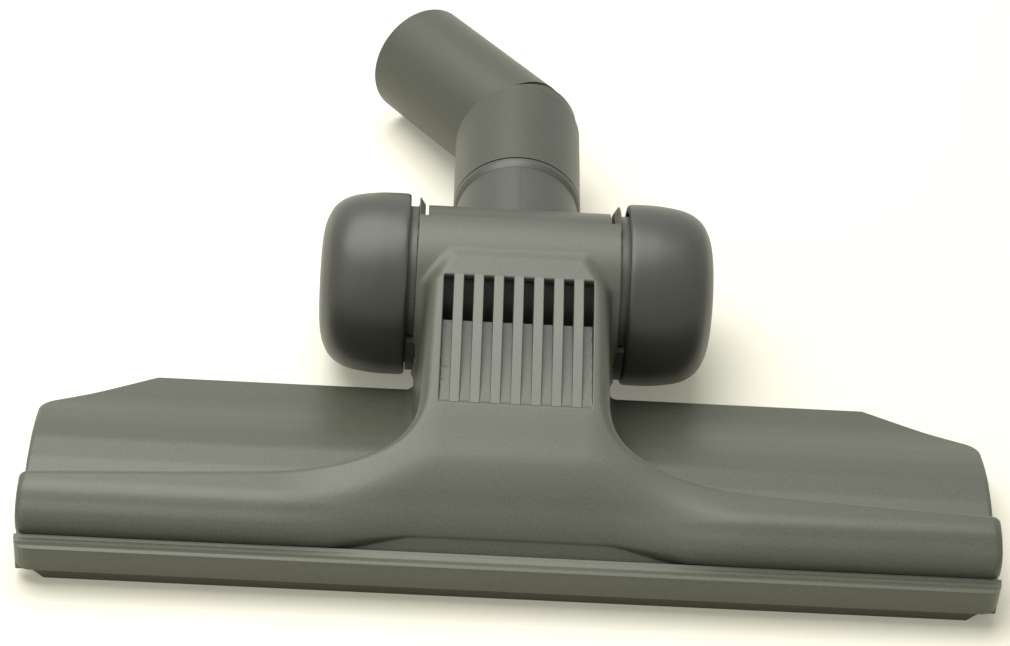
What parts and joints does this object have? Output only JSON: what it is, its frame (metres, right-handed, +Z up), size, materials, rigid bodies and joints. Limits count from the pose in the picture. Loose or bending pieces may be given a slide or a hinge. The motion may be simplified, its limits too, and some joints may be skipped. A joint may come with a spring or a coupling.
{
  "type": "vacuum squeegee floor tool",
  "caption": "Wide wet-pickup floor head with rubber squeegee blades, slotted air neck, side rollers, a tilting barrel joint and a swivelling bent elbow with a wand socket.",
  "frame": {"origin": "middle of the bounding box on the floor under the tool", "axes": "+X to the right along the head, +Y back from the blades towards the wand, +Z up"},
  "size_m": [0.3, 0.2576, 0.059],
  "materials": {
    "housing_plastic": "spark-eroded satin grey plastic",
    "base_plastic": "satin grey plastic",
    "frame_plastic": "satin grey plastic",
    "barrel_plastic": "satin grey plastic",
    "elbow_plastic": "spark-eroded satin grey plastic",
    "wheel_plastic": "smooth satin grey plastic",
    "blade_rubber": "matte black rubber",
    "felt_strip": "pressed felt",
    "screw_steel": "zinc-plated steel",
    "bush_nylon": "natural nylon"
  },
  "bodies": {
    "head": {"upper_housing": "housing_plastic", "lower_housing": "base_plastic", "squeegee_frame": "frame_plastic", "front_blade": "blade_rubber", "rear_blade": "blade_rubber", "base_screws": "screw_steel", "hood_seal": "felt_strip", "cradle_seal": "felt_strip", "left_axle": "screw_steel", "right_axle": "screw_steel", "left_axle_clip": "screw_steel", "right_axle_clip": "screw_steel"},
    "barrel": {"tilt_barrel": "barrel_plastic", "swivel_seal": "blade_rubber", "swivel_ring": "screw_steel"},
    "elbow": {"swivel_elbow": "elbow_plastic"},
    "left_roller": {"left_wheel": "wheel_plastic", "left_wheel_bush": "bush_nylon"},
    "right_roller": {"right_wheel": "wheel_plastic", "right_wheel_bush": "bush_nylon"}
  },
  "joints": [
    {"name": "barrel_tilt", "type": "hinge", "parent": "head", "child": "barrel", "pos_m": [0, -0.01582, 0.0295], "axis": [1, 0, 0], "range_deg": [0, 37]},
    {"name": "elbow_swivel", "type": "hinge", "parent": "barrel", "child": "elbow", "pos_m": [0, 0.02716, 0.02834], "axis": [0, 0.9996, -0.0269], "continuous": true},
    {"name": "left_roller_spin", "type": "hinge", "parent": "head", "child": "left_roller", "pos_m": [-0.0494, -0.01582, 0.0295], "axis": [1, 0, 0], "continuous": true},
    {"name": "right_roller_spin", "type": "hinge", "parent": "head", "child": "right_roller", "pos_m": [0.0494, -0.01582, 0.0295], "axis": [1, 0, 0], "continuous": true}
  ]
}
